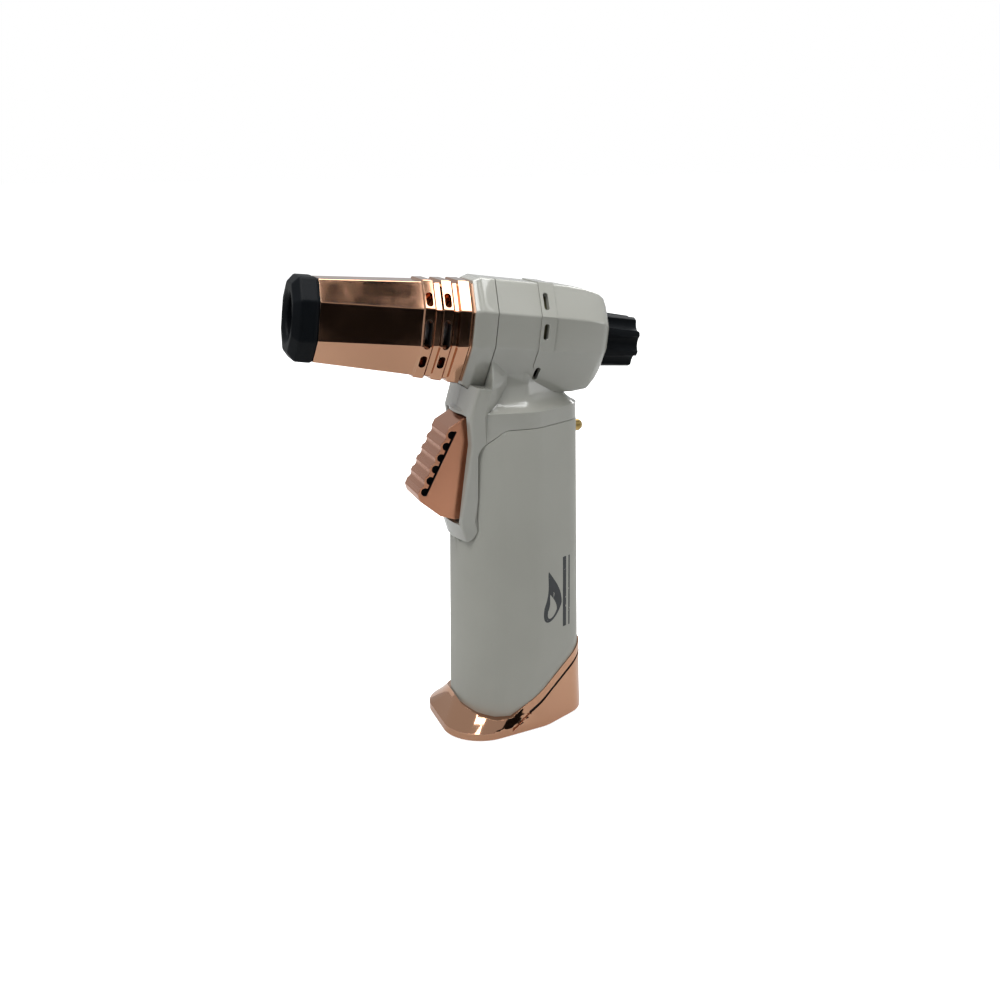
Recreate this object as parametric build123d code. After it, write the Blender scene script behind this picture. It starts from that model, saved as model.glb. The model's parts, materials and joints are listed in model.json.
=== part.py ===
from build123d import *
import os
from math import cos, radians, sin

# Pistol-grip butane jet torch with a piezo trigger.  Millimetres, +Z up, -X towards the muzzle, +X towards the
# flame knob, -Y the torch's left.  The origin is the middle of the grip, on the surface that the base stands on.

# ---- overall sizes ----
HEAD_HEIGHT = 133.4  # burner axis above the floor, over the origin
HEAD_TILT = 6.95  # degrees that the muzzle is raised
CREST = 16.8  # height of the head's top facet over the burner axis
# corners of the faceted section's right half from the top down, as shares of the height of the top facet
MUZZLE_FACETS = ((0.45, 1.0), (0.89, 0.48), (0.89, -0.48), (0.42, -1.04))
HEAD_FACETS = ((0.415, 1.0), (0.84, 0.415), (0.84, -0.21), (0.36, -1.075))
GUARD_LENGTH = 7.9
BARREL_LENGTH = 47.9
COLLAR_LENGTH = 7.2
SHELL_LENGTH = 40.0
SHELL_FRONT = -10.5  # front edge of the head shell, from the origin
HEAD_CORNER = 1.6  # rounding of the head's long edges
KNOB_LENGTH = 12.2
GRIP_FRONT = 22.4  # reach of the grip in front of the origin
GRIP_REAR = 22.9
GRIP_HALF_WIDTH = 17.2
GRIP_TAPER = 0.00065  # share of the section lost per millimetre of height
SHOULDER_Z = 110.0  # shoulder crest, top of the full grip section
SEAM_Z = 104.6  # lower edge of the gloss shell at the sides and the back
BEZEL_FOOT_Z = 67.5  # lower end of the trigger bezel
BEZEL_BACK_X = -16.8  # its seam on the sides

# ---- walls, gaps and fits ----
WALL = 1.8  # moulded shells
METAL_WALL = 1.3  # plated shrouds
SEAM = 0.2  # reveal between two covers
GAP = 0.35  # free space round a moving piece
RUNNING = 0.05  # radial clearance of a running fit
SEAT = 0.05  # clearance between pieces that sit in each other

# ---- trigger and what it pushes ----
TRIGGER_WIDTH = 16.2
TRIGGER_ANGLE = 10.0  # degrees of travel
PIVOT_X = -16.5
PIVOT_Z = 106.5
PIN_R = 1.0
NOSE_R = 2.5
NOSE_X = -15.5
PIEZO_Z = PIVOT_Z - 20.0
SLIDE_Z = PIVOT_Z - 27.5
GROOVE_COUNT = 5
GROOVE_PITCH = 4.05
RAMP_SLOPE = 0.25
SLIDE_WIDTH = 5.0
FACE_TOP = Vector(-24.8, 0, 105.2)
FACE_FOOT = Vector(-34.3, 0, 87.0)

# ---- holes and round pieces ----
MUZZLE_HOLE_R = 7.1
BORE_R = 9.5
BURNER_R = 8.4
BURNER_WALL = 0.7
MIX_R = 3.4
ELECTRODE_Y = -5.6
ELECTRODE_R = 0.4
INSULATOR_R = 1.2
VALVE_R = 4.2
SPINDLE_R = 1.5
KNOB_R = 9.1
KNOB_FLUTES = 8
SLOT_WIDTH = 2.2
VENT_WIDTH = 1.7
WIRE_R = 0.8
HOSE_R = 1.2
WIRE_X = 0.0
HOSE_X = 0.0
HOSE_Y = 8.2
SCREW_R = 1.1
SCREW_PLACES = ((-7.0, 10.2), (22.0, 9.4))
SCREW_SEAT_Y = 7.6
NUB_R = 2.0
NUB_SEAT_R = 2.4  # the nozzle's thicker foot in the cover
NUB_REACH = 2.7  # how far the filling nozzle stands out of the cover
STEM_R = 1.1

# ---- vent band on the head ----
BAND_X = 4.0
BAND_WIDTH = 5.2
VENT_X = 1.9  # from the band's front edge to the middle of its slots
BAND_PROUD = 0.35
BAND_DEPTH = 1.0

# ---- base and tank ----
PAD_THICKNESS = 1.0
PLATE_THICKNESS = 2.2
SHOE_LOW = 6.0  # lowest point of the shoe's upper edge
SHOE_LOW_X = -7.6
SHOE_SLOPE = 0.642  # rise of the diagonal edge over its run
SHOE_TOP = 25.0
FLARE_TOP = 11.2
FLARE_HEIGHT = 8.5
BASE_SCREWS = ((-19.4, 7.0), (-19.4, -7.0), (17.4, 0.0))
FOOT_RINGS = ((-15.0, 7.6, 13.2), (1.0, 4.4, 13.2), (11.7, 0.0, 11.8))
TANK_TOP = 66.0
TANK_WALL = 1.6
TANK_GAP = 0.5
LID_THICKNESS = 3.4
SEAL_THICKNESS = 0.6
REFILL_Z = 101.0
FILL_R = 1.25
FILL_X = 15.6
CASE_BACK = 13.0
CASE_HEIGHT = 8.0
CASE_WIDTH = 9.0

# ---- places worked out from the sizes ----
SHELL_BACK = SHELL_FRONT + SHELL_LENGTH
COLLAR_FRONT = SHELL_FRONT - COLLAR_LENGTH
BARREL_FRONT = COLLAR_FRONT - BARREL_LENGTH
MUZZLE_X = BARREL_FRONT - GUARD_LENGTH
VALVE_FRONT = -8.0
VALVE_BACK = SHELL_BACK - 4.0
GRIP_FOOT = PAD_THICKNESS + PLATE_THICKNESS
LID_TOP = TANK_TOP + SEAL_THICKNESS + LID_THICKNESS
PLUNGER_FRONT = NOSE_X + NOSE_R + 0.2
PLUNGER_TRAVEL = (PIVOT_Z - PIEZO_Z) * radians(TRIGGER_ANGLE)
SLIDE_TRAVEL = (PIVOT_Z - SLIDE_Z) * radians(TRIGGER_ANGLE)
CASE_FRONT = PLUNGER_FRONT + 7.0
HEAD = Pos(0, 0, HEAD_HEIGHT) * Rot(0, HEAD_TILT, 0)
LOW_END = (Align.CENTER, Align.CENTER, Align.MIN)


# ---- basic shapes ----
def rod(x0, x1, radius, y=0.0, z=0.0):
    """Round bar along X."""
    return Pos(x0, y, z) * Rot(0, 90, 0) * extrude(Circle(radius), x1 - x0)


def post(z0, z1, radius, x=0.0, y=0.0):
    """Round bar along Z."""
    return Pos(x, y, z0) * extrude(Circle(radius), z1 - z0)


def cross_bar(y0, y1, radius, x, z):
    """Round bar along Y."""
    return Pos(x, (y0 + y1) / 2, z) * Rot(90, 0, 0) * Cylinder(radius, y1 - y0)


def block(x0, x1, width, z0, z1, y=0.0):
    """Box between x0 and x1, z0 and z1, centred at y."""
    return Pos((x0 + x1) / 2, y, (z0 + z1) / 2) * Box(x1 - x0, width, z1 - z0)


def side_face(points):
    """Outline in the XZ plane."""
    return Plane.XZ * make_face(Polyline(*points, close=True))


def side_prism(points, width):
    """Outline in the XZ plane, extruded to half the width each way across Y."""
    return extrude(side_face(points), width / 2, both=True)


def spring(radius, wire, length, turns):
    """Helical spring along Z, from the origin upwards."""
    path = Helix(pitch=length / turns, height=length, radius=radius)
    return sweep(Plane(path @ 0, z_dir=path % 0) * Circle(wire), path=path)


def pipe(points, radius, bend):
    """Round line through the points, with tangent bends."""
    path = FilletPolyline(*points, radius=bend)
    return sweep(Plane(path @ 0, z_dir=path % 0) * Circle(radius), path=path)


def head_point(x, y, z):
    """Point of the tilted head, as a place in the upright frame."""
    t = radians(HEAD_TILT)
    return (x * cos(t) + z * sin(t), y, HEAD_HEIGHT - x * sin(t) + z * cos(t))


# ---- sections ----
def facet_points(x, top):
    """Corners (y, z) of the section's right half at x, from the top down; the low side grows towards the head."""
    share = min(1.0, max(0.0, (x - BARREL_FRONT) / (SHELL_FRONT - BARREL_FRONT))) ** 1.5
    points = []
    for muzzle, head in zip(MUZZLE_FACETS, HEAD_FACETS):
        points.append(tuple(top * (m + (h - m) * share) for m, h in zip(muzzle, head)))
    return points


def octagon(x, top, grow=0.0, corner=0.0):
    """Faceted section of the head across its axis at x, grown outwards all round by grow."""
    right = facet_points(x, top)
    left = [(-y, z) for y, z in reversed(right)]
    face = make_face(Polyline(*right, *left, close=True))
    if grow:
        face = offset(face, grow, kind=Kind.INTERSECTION)
    if corner:
        face = fillet(face.vertices(), corner)
    return Plane(origin=(x, 0, 0), x_dir=(0, 1, 0), z_dir=(1, 0, 0)) * face


def octagon_bar(stations, grow=0.0, corner=0.0):
    """Solid through octagons given as (x, height of the top facet)."""
    return loft([octagon(x, top, grow, corner) for x, top in stations], ruled=True)


def egg(z, rings, grow=0.0):
    """Hull at height z of circles given as (x, y, radius), each with its mirror copy."""
    edges = []
    for x, y, r in rings:
        for side in (1, -1) if y else (1,):
            edges += (Pos(x, side * y) * Circle(r + grow)).edges()
    return Pos(0, 0, z) * make_hull(edges)


def grip_rings(z):
    """Circles of the grip's section at height z, which shrinks a little upwards."""
    k = 1 - GRIP_TAPER * (z - 15)
    width = GRIP_HALF_WIDTH * k
    front_r = 0.69 * GRIP_FRONT * k
    middle_r = 0.72 * width
    rear_r = 0.51 * GRIP_REAR * k
    return (
        (front_r - GRIP_FRONT * k, 1.2 * k, front_r),
        (0.0, width - middle_r, middle_r),
        (GRIP_REAR * k - rear_r, 0.0, rear_r),
    )


def grip_rear(z):
    """Rearmost place of the grip's surface at height z."""
    x, _, r = grip_rings(z)[2]
    return x + r


def grip_bar(z0, z1, grow=0.0):
    """Solid of the grip's section from z0 to z1."""
    return loft([egg(z, grip_rings(z), grow) for z in (z0, z1)], ruled=True)


# ---- barrel and muzzle, in the head's frame ----
BAND_STATIONS = (COLLAR_FRONT - 14.5, COLLAR_FRONT - 8.6)


def barrel_stations():
    """(x, height) along the barrel: a long taper, two slotted bands and the rear band."""
    b = COLLAR_FRONT
    taper = [(BARREL_FRONT, 12.4), (b - 16.4, 14.2)]
    first = [(b - 16.0, 14.8), (b - 13.0, 15.0), (b - 12.3, 14.2), (b - 10.6, 14.3)]
    second = [(b - 10.1, 15.1), (b - 7.1, 15.3), (b - 6.4, 14.5), (b - 5.2, 14.6)]
    rear = [(b - 4.7, 15.5), (b - 1.3, 15.7), (b - 0.7, 15.0), (b, 15.0)]
    return taper + first + second + rear


FACET_NAMES = {"upper": 0, "side": 1, "lower": 2}


def facet_slot(x, top, facet, shift, length, width, reach):
    """Stadium cutter through one facet on the left and its mirror copy, moved up the facet by shift."""
    k = FACET_NAMES[facet]
    corners = [Vector(x, -y, z) for y, z in facet_points(x, top)]
    tangent = (corners[k] - corners[k + 1]).normalized()
    middle = (corners[k] + corners[k + 1]) * 0.5 + tangent * shift
    normal = Vector(0, -tangent.Z, tangent.Y)
    plane = Plane(origin=middle, x_dir=tangent, z_dir=normal)
    tool = extrude(plane * SlotOverall(length, width), reach, both=True)
    return [tool, mirror(tool, Plane.XZ)]


def barrel_shroud():
    """Plated shroud: tapered octagon outside, round bore inside, with a spigot for the collar."""
    solid = octagon_bar(barrel_stations(), corner=0.7)
    solid += rod(COLLAR_FRONT, SHELL_FRONT - 1, BORE_R + METAL_WALL)
    solid -= rod(BARREL_FRONT - 1, SHELL_FRONT, BORE_R)
    for x in BAND_STATIONS:
        tools = facet_slot(x, 15.0, "upper", -1.9, 5.2, SLOT_WIDTH, 4.2)
        tools += facet_slot(x, 15.0, "side", -2.0, 9.2, SLOT_WIDTH, 4.6)
        tools += facet_slot(x, 15.0, "lower", 0.5, 4.8, SLOT_WIDTH, 4.2)
        for tool in tools:
            solid -= tool
    return solid


def muzzle_guard():
    """Heat-proof end piece with the flame hole and a spigot that sits in the barrel."""
    stations = [(MUZZLE_X, 10.2), (MUZZLE_X + 2.2, 12.6), (BARREL_FRONT - 0.8, 12.7), (BARREL_FRONT, 12.1)]
    solid = octagon_bar(stations, corner=1.6)
    solid += rod(BARREL_FRONT, BARREL_FRONT + 5, BORE_R - SEAT)
    solid -= rod(MUZZLE_X - 1, BARREL_FRONT + 6, MUZZLE_HOLE_R)
    solid -= rod(BARREL_FRONT - 2, BARREL_FRONT + 6, BURNER_R + SEAT)
    bevel = Cone(MUZZLE_HOLE_R + 1.2, MUZZLE_HOLE_R, 1.2, align=LOW_END)
    return solid - Plane(origin=(MUZZLE_X, 0, 0), z_dir=(1, 0, 0)) * bevel


def burner_tube():
    """Round tube whose rear end the mixing tube, the insulator and the air holes pass through."""
    front = BARREL_FRONT - 2 + SEAT
    back = COLLAR_FRONT + 1.0
    solid = rod(front, back, BURNER_R) - rod(front - 1, back - 1.2, BURNER_R - BURNER_WALL)
    solid -= rod(back - 2, back + 1, MIX_R + SEAT)
    solid -= rod(back - 2, back + 1, INSULATOR_R + SEAT, y=ELECTRODE_Y)
    for spot in PolarLocations(5.7, 7, start_angle=0, angular_range=360 * 6 / 7):
        solid -= rod(back - 2, back + 1, 0.55, y=spot.position.X, z=spot.position.Y)
    return solid


def flame_screen():
    """Perforated disc that holds the flame, with a hole for the insulator."""
    x0 = BARREL_FRONT + 9.0
    x1 = x0 + 1.6
    disc = rod(x0, x1, BURNER_R - BURNER_WALL - SEAT) - rod(x0 - 1, x1 + 1, 1.1)
    for radius, count in ((2.6, 7), (5.0, 12)):
        for spot in PolarLocations(radius, count):
            disc -= rod(x0 - 1, x1 + 1, 0.6, y=spot.position.X, z=spot.position.Y)
    return disc - rod(x0 - 1, x1 + 1, INSULATOR_R + SEAT, y=ELECTRODE_Y)


def electrode_insulator():
    x0 = BARREL_FRONT + 8.0
    x1 = COLLAR_FRONT + 5.0
    tube = rod(x0, x1, INSULATOR_R, y=ELECTRODE_Y)
    return tube - rod(x0 - 1, x1 + 1, ELECTRODE_R, y=ELECTRODE_Y)


def electrode():
    """Spark wire: straight through the insulator, then bent towards the middle of the flame."""
    tip = BARREL_FRONT + 5.5
    straight = rod(tip, COLLAR_FRONT + 5.0, ELECTRODE_R, y=ELECTRODE_Y)
    hook = cross_bar(ELECTRODE_Y, ELECTRODE_Y + 2.6, ELECTRODE_R, tip, 0)
    return straight + hook + Pos(tip, ELECTRODE_Y, 0) * Sphere(ELECTRODE_R)


# ---- gas path in the head, in the head's frame ----
def mixing_tube():
    x0 = COLLAR_FRONT - 3.0
    x1 = VALVE_FRONT - 3.0
    tube = rod(x0, x1, MIX_R) - rod(x0 - 1, x1 + 1, MIX_R - BURNER_WALL)
    return tube - cross_bar(-MIX_R - 1, MIX_R + 1, 1.0, x1 - 2.2, 0)


def gas_jet():
    """Brass jet in the front of the flow valve, with a fine hole through it."""
    x0 = VALVE_FRONT - 4.5
    x1 = VALVE_FRONT + 2.5
    jet = rod(VALVE_FRONT - 3.0, VALVE_FRONT, MIX_R) + rod(x0, x1, MIX_R - BURNER_WALL - SEAT)
    return jet - rod(x0 - 1, x1 + 1, 0.4)


def flow_valve_body():
    """Needle valve barrel with a gland at the rear and a hose tail underneath."""
    body = rod(VALVE_FRONT, VALVE_BACK, VALVE_R)
    x, _, z = (HEAD.inverse() * Pos(HOSE_X, 0, HOSE_TOP)).position
    body += post(z, 0, HOSE_R + 0.6, x=x)
    body -= post(z - 1, z + 4, HOSE_R - 0.45, x=x)
    body -= rod(VALVE_FRONT - 1, VALVE_FRONT + 2.5, MIX_R - BURNER_WALL)
    body -= rod(VALVE_FRONT, VALVE_BACK + 1, SPINDLE_R + RUNNING)
    return body - rod(VALVE_BACK - 6, VALVE_BACK - 4, SPINDLE_R + 1.2)


def needle_spindle():
    """Needle, shank and flatted knob stub, turned from one bar."""
    tip = VALVE_FRONT + 4.0
    needle = Plane(origin=(tip, 0, 0), z_dir=(1, 0, 0)) * Cone(0.3, SPINDLE_R, 7.0, align=LOW_END)
    shank = rod(tip + 7.0, SHELL_BACK + 7.0, SPINDLE_R)
    return needle + shank - block(SHELL_BACK + 2.0, SHELL_BACK + 8.0, 4, SPINDLE_R - 0.45, SPINDLE_R + 1)


def spindle_seal():
    """O-ring in the valve's gland."""
    return Pos(VALVE_BACK - 5.0, 0, 0) * Rot(0, 90, 0) * Torus(SPINDLE_R + RUNNING + 0.58, 0.55)


def flame_knob():
    """Fluted knob with a hub that enters the shell, seated on the flat of the spindle."""
    x0 = SHELL_BACK + GAP
    outline = Circle(KNOB_R)
    for spot in PolarLocations(KNOB_R * 1.1, KNOB_FLUTES):
        outline -= spot * Circle(KNOB_R * 0.27)
    grip = extrude(Plane(origin=(x0, 0, 0), z_dir=(1, 0, 0)) * outline, KNOB_LENGTH, taper=3.0)
    end = grip.faces().sort_by(Axis.X)[-1]
    solid = chamfer(end.edges(), 0.5)
    solid += rod(x0 - 3.0, x0, KNOB_R * 0.55)
    solid -= rod(x0 - 4, SHELL_BACK + 7.0 + SEAT, SPINDLE_R + SEAT)
    solid += block(SHELL_BACK + 2.0, SHELL_BACK + 7.0, 2.4, SPINDLE_R - 0.4, SPINDLE_R + 0.6)
    return solid - rod(x0 + KNOB_LENGTH - 0.7, x0 + KNOB_LENGTH + 1, KNOB_R * 0.52)


# ---- head covers ----
def collar_stations():
    """(x, height) along the collar, with its bevelled front edge."""
    return [(COLLAR_FRONT, CREST - 0.9), (COLLAR_FRONT + 2.4, CREST + 0.3), (SHELL_FRONT, CREST + 0.2)]


def head_collar():
    """White ring between the barrel and the shells."""
    solid = octagon_bar(collar_stations(), corner=HEAD_CORNER)
    return solid - rod(COLLAR_FRONT - 1, SHELL_FRONT + 1, BORE_R + METAL_WALL + SEAT)


def shell_stations():
    """(x, height) along the head, straight at first, then falling to the rounded rear end."""
    back = SHELL_BACK
    straight = [(SHELL_FRONT, CREST + 0.2), (back - 15.5, CREST), (back - 8.5, CREST - 0.6), (back - 3.7, CREST - 1.6)]
    return straight + [(back - 1.5, CREST - 3.0), (back, CREST - 5.2)]


def head_bar(grow):
    """Inner or outer copy of the head's faceted body without its rounded end, grown outwards by grow."""
    return octagon_bar(shell_stations()[0:4], grow=grow)


def rear_undercut():
    """Wedge that slants the head's underside at the rear, in the head's frame."""
    x = SHELL_BACK
    return side_prism([(x - 5.0, -18.2), (x + 0.7, -9.0), (x + 6, -9.0), (x + 6, -30), (x - 5.0, -30)], 60)


NECK_SCOOP = ((SHOULDER_Z, 0.0), (SHOULDER_Z + 0.9, -1.6), (SHOULDER_Z + 2.3, -3.3), (SHOULDER_Z + 4.4, -4.9), (SHOULDER_Z + 8, -6.2))
BEZEL_STEPS = (
    # height, half width, edge x, middle x
    (BEZEL_FOOT_Z - 1.5, 11.2, -19.8, -22.2),
    (BEZEL_FOOT_Z + 7.0, 12.2, -22.4, -24.3),
    (SHOULDER_Z - 10, 13.5, -18.6, -19.6),
    (SHOULDER_Z - 1, 14.4, -19.4, -20.1),
    (SHOULDER_Z + 8, 14.3, -16.8, -17.5),
    (SHOULDER_Z + 11, 13.8, -15.9, -16.6),
    (SHOULDER_Z + 17, 10.8, -14.6, -15.2),
)
BEVEL = 1.5  # slanted rim of the bezel's opening for the trigger


def neck(grow):
    """Full grip section up to the crest, then a scoop that narrows to the head."""
    steps = [(SEAM_Z - 45, 0.0)] + list(NECK_SCOOP) + [(SHOULDER_Z + 16, -6.2)]
    return loft([egg(z, grip_rings(z), inset + grow) for z, inset in steps], ruled=True)


def bezel():
    """Pillar in front of the grip section that frames the trigger and fades into the neck."""
    sections = []
    for z, half, edge_x, middle_x in BEZEL_STEPS:
        front = ThreePointArc((edge_x, half), (middle_x, 0), (edge_x, -half))
        left = [(edge_x, -half), (edge_x + 4.5, -half - 0.3), (edge_x + 14, 7 - half)]
        right = [(x, -y) for x, y in reversed(left)]
        face = make_face([front] + Polyline(*left, *right).edges())
        corners = face.vertices().sort_by(Axis.X)[0:2]
        sections.append(Pos(0, 0, z) * fillet(corners, 1.3))
    return loft(sections, ruled=True)


def trigger_opening():
    """Space for the trigger in the bezel, with a slanted rim."""
    half = TRIGGER_WIDTH / 2 + GAP
    low = BEZEL_FOOT_Z + 5.8
    high = PIVOT_Z + 2.6
    sections = []
    for z in (low, SHOULDER_Z - 10, high):
        edge_x = -22.0 if z == low else -18.9
        right = [(edge_x - 12, half + 12 + BEVEL), (edge_x + BEVEL, half)]
        left = [(x, -y) for x, y in reversed(right)]
        sections.append(Pos(0, 0, z) * make_face(Polyline(*right, *left, close=True)))
    return block(-60, PIVOT_X + 6, 2 * half, low, high) + loft(sections, ruled=True)


def gloss_region(clear):
    """Side outline of the gloss shell: the head, the neck and the bezel, cut back by clear."""
    seam = SEAM_Z + clear
    back = BEZEL_BACK_X - clear
    foot = BEZEL_FOOT_Z + clear
    points = [(60, seam + 0.9), (-8.2, seam), (back, seam - 6.4), (back, foot), (-60, foot), (-60, 170), (60, 170)]
    face = side_face(points)
    low = [v for v in face.vertices() if abs(v.X) < 30]
    by_height = sorted(low, key=lambda v: v.Z)
    face = fillet(by_height[0], 4.4)
    upper = [v for v in face.vertices() if abs(v.X) < 30 and v.Z > seam - 7]
    return extrude(fillet(upper, 5.0), 40, both=True)


def band_region(clear):
    """Space of the vent band: over the top and down both sides to rounded ends."""
    x1 = BAND_X + BAND_WIDTH
    region = block(BAND_X - clear, x1 + clear, 80, HEAD_FACETS[2][1] * CREST, 40)
    ends = facet_slot((BAND_X + x1) / 2, CREST, "lower", 7.0, 14.0 + 2 * clear, BAND_WIDTH + 2 * clear, 4)
    return [region] + ends


def vent_tools():
    """Three slots on each side of the vent band."""
    x = BAND_X + VENT_X
    tools = facet_slot(x, CREST, "upper", -0.6, 6.2, VENT_WIDTH, 4)
    tools += facet_slot(x, CREST, "side", 0.6, 5.0, VENT_WIDTH, 4)
    return tools + facet_slot(x, CREST, "lower", -0.9, 5.2, VENT_WIDTH, 4)


def vent_band():
    """Raised strip over the head, with its six slots."""
    ring = head_bar(BAND_PROUD) - head_bar(-BAND_DEPTH)
    solid = Part()
    for region in band_region(0.0):
        solid += ring & region
    for tool in vent_tools():
        solid -= tool
    return solid


def heat_liner():
    """Thin arch behind the vent slots, open at the bottom."""
    arch = head_bar(-WALL - 0.3) - head_bar(-WALL - 0.8)
    return arch & block(BAND_X - 1.5, BAND_X + BAND_WIDTH + 1.5, 60, -9.5, 30)


def shells():
    """The two halves of the gloss shell: left (-Y) and right (+Y)."""
    head = octagon_bar(shell_stations(), corner=HEAD_CORNER) - rear_undercut()
    outer = HEAD * head + neck(0.0) + bezel()
    inside = HEAD * (head_bar(-WALL) - Pos(-WALL, 0, WALL) * rear_undercut())
    hollow = neck(-WALL) & block(-60, 60, 80, 0, HEAD_HEIGHT)
    solid = (outer - inside - hollow) & gloss_region(0.0)
    front, top = collar_stations()[0]
    solid -= HEAD * octagon_bar([(front - 20, top)] + collar_stations(), grow=SEAM)
    solid -= HEAD * block(front - 40, SHELL_FRONT + SEAM, 80, -CREST, 40)
    channel = head_bar(3) - head_bar(-BAND_DEPTH - SEAT)
    for region in band_region(0.08):
        solid -= HEAD * (channel & region)
    for tool in vent_tools():
        solid -= HEAD * tool
    for x in (-4.5, 13.0):
        rib = head_bar(-WALL / 2) & block(x, x + 1.4, 60, -9, 30)
        rib -= rod(x - 1, x + 3, VALVE_R + SEAT)
        solid += HEAD * (rib - rod(x - 1, x + 3, WIRE_R + GAP, y=ELECTRODE_Y))
    ears = block(PIVOT_X - 2.4, PIVOT_X + 3, 2 * PIN_HALF + 3, PIVOT_Z - 3, PIVOT_Z + 3)
    solid += ears & outer
    solid -= trigger_opening()
    solid -= cross_bar(-PIN_HALF - SEAT, PIN_HALF + SEAT, PIN_R + SEAT, PIVOT_X, PIVOT_Z)
    solid -= HEAD * rod(SHELL_BACK - 6, SHELL_BACK + 2, KNOB_R * 0.55 + GAP)
    for x, z in SCREW_PLACES:
        boss = cross_bar(-20, 20, 2.4, x, z) & head_bar(-WALL / 2)
        solid += HEAD * boss
    for x, z in SCREW_PLACES:
        solid -= HEAD * cross_bar(-6.5, SCREW_SEAT_Y + 0.1, SCREW_R + SEAT, x, z)
        solid -= HEAD * cross_bar(SCREW_SEAT_Y, 30, 2.1, x, z)
    left = solid - Pos(0, 50 - SEAM / 2, 100) * Box(200, 100, 200)
    right = solid - Pos(0, -50 + SEAM / 2, 100) * Box(200, 100, 200)
    return left, right


def shell_screws():
    """Two screws across the head, their heads on the right."""
    screws = Part()
    for x, z in SCREW_PLACES:
        shank = cross_bar(-6.0, SCREW_SEAT_Y, SCREW_R, x, z)
        head = cross_bar(SCREW_SEAT_Y, SCREW_SEAT_Y + 1.5, 2.0, x, z)
        cross = Box(2.6, 1.8, 0.6) + Box(0.6, 1.8, 2.6)
        screws += shank + head - Pos(x, SCREW_SEAT_Y + 1.7, z) * cross
    return screws


# ---- trigger group ----
PIN_HALF = TRIGGER_WIDTH / 2 + 2.4


def trigger():
    """Wedge with finger grooves in front, scalloped side channels, a hub and two pushing noses."""
    outline = [(-19.6, 108.1), (FACE_TOP.X, FACE_TOP.Z), (FACE_FOOT.X, FACE_FOOT.Z), (-35.6, 84.2)]
    outline += [(-35.0, 82.0), (-28.3, 76.4), (-23.6, 74.8), (-20.0, 74.8), (PIVOT_X + 0.6, PIVOT_Z - 4)]
    solid = side_prism(outline + [(PIVOT_X + 2, PIVOT_Z + 1)], TRIGGER_WIDTH)
    solid += cross_bar(-TRIGGER_WIDTH / 2, TRIGGER_WIDTH / 2, 2.5, PIVOT_X, PIVOT_Z)
    along = (FACE_FOOT - FACE_TOP).normalized()
    inward = Vector(-along.Z, 0, along.X)
    half = TRIGGER_WIDTH / 2
    for k in range(GROOVE_COUNT):
        centre = FACE_TOP + along * (3.8 + GROOVE_PITCH * k) - inward * 1.3
        solid -= cross_bar(-half - 1, half + 1, 1.9, centre.X, centre.Z)
    ledge = [FACE_TOP + inward * 2.3, FACE_TOP + inward * 3.0, FACE_FOOT + along * 2.4 + inward * 3.0]
    ledge += [FACE_FOOT + along * 2.4 + inward * 2.3]
    channel = side_prism([(p.X, p.Z) for p in ledge], 60)
    behind = [FACE_TOP - along * 9 + inward * 3.0, FACE_FOOT + along * 9 + inward * 3.0]
    behind += [behind[1] + inward * 30, behind[0] + inward * 30]
    scallops = Part()
    for k in range(GROOVE_COUNT + 1):
        centre = FACE_TOP + along * (1.6 + GROOVE_PITCH * k) + inward * 2.0
        scallops += cross_bar(-30, 30, 1.3, centre.X, centre.Z)
    channel += scallops - side_prism([(p.X, p.Z) for p in behind], 61)
    solid -= channel - block(-60, 0, TRIGGER_WIDTH - 3.2, 0, 200)
    for z in (PIEZO_Z, SLIDE_Z):
        solid += cross_bar(-2.5, 2.5, NOSE_R, NOSE_X, z)
        solid += block(NOSE_X - 6, NOSE_X, 5, z - NOSE_R, z + NOSE_R)
    return solid - cross_bar(-half - 1, half + 1, PIN_R + RUNNING, PIVOT_X, PIVOT_Z)


def trigger_pin():
    return cross_bar(-PIN_HALF, PIN_HALF, PIN_R, PIVOT_X, PIVOT_Z)


def piezo_case():
    low = PIEZO_Z - CASE_HEIGHT / 2
    case = block(CASE_FRONT, CASE_BACK, CASE_WIDTH, low, low + CASE_HEIGHT)
    case = fillet(case.edges().filter_by(Axis.X), 0.8)
    return case - rod(CASE_FRONT - 1, CASE_FRONT + 11.0, 2.4 + RUNNING, z=PIEZO_Z)


def piezo_plunger():
    rear = CASE_FRONT + 11.0 - PLUNGER_TRAVEL - GAP
    disc = rod(PLUNGER_FRONT, PLUNGER_FRONT + 1.5, 3.6, z=PIEZO_Z)
    return disc + rod(PLUNGER_FRONT, rear, 2.4, z=PIEZO_Z)


def return_spring():
    """Spring round the plunger that brings it and the trigger back."""
    length = CASE_FRONT - PLUNGER_FRONT - 1.5 - 0.8
    return Pos(PLUNGER_FRONT + 1.9, 0, PIEZO_Z) * Rot(0, 90, 0) * spring(2.95, 0.3, length, 4)


def piezo_cradle():
    """Bridge on the tank lid that holds the piezo case and guides the gas slide under it."""
    low = PIEZO_Z - CASE_HEIGHT / 2
    solid = block(4.6, CASE_BACK, CASE_WIDTH + 3.6, LID_TOP, PIEZO_Z + 1)
    solid -= block(0, CASE_BACK + 1, CASE_WIDTH + 2 * SEAT, low, PIEZO_Z + 5)
    solid -= block(0, CASE_BACK + 1, SLIDE_WIDTH + 2 * GAP, SLIDE_Z - 2.2, low + 1)
    return solid - block(0, CASE_BACK + 1, 6.6, LID_TOP + 1.6, SLIDE_Z - 3.6)


SLIDE_UNDER = SLIDE_Z + 0.2


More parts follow.
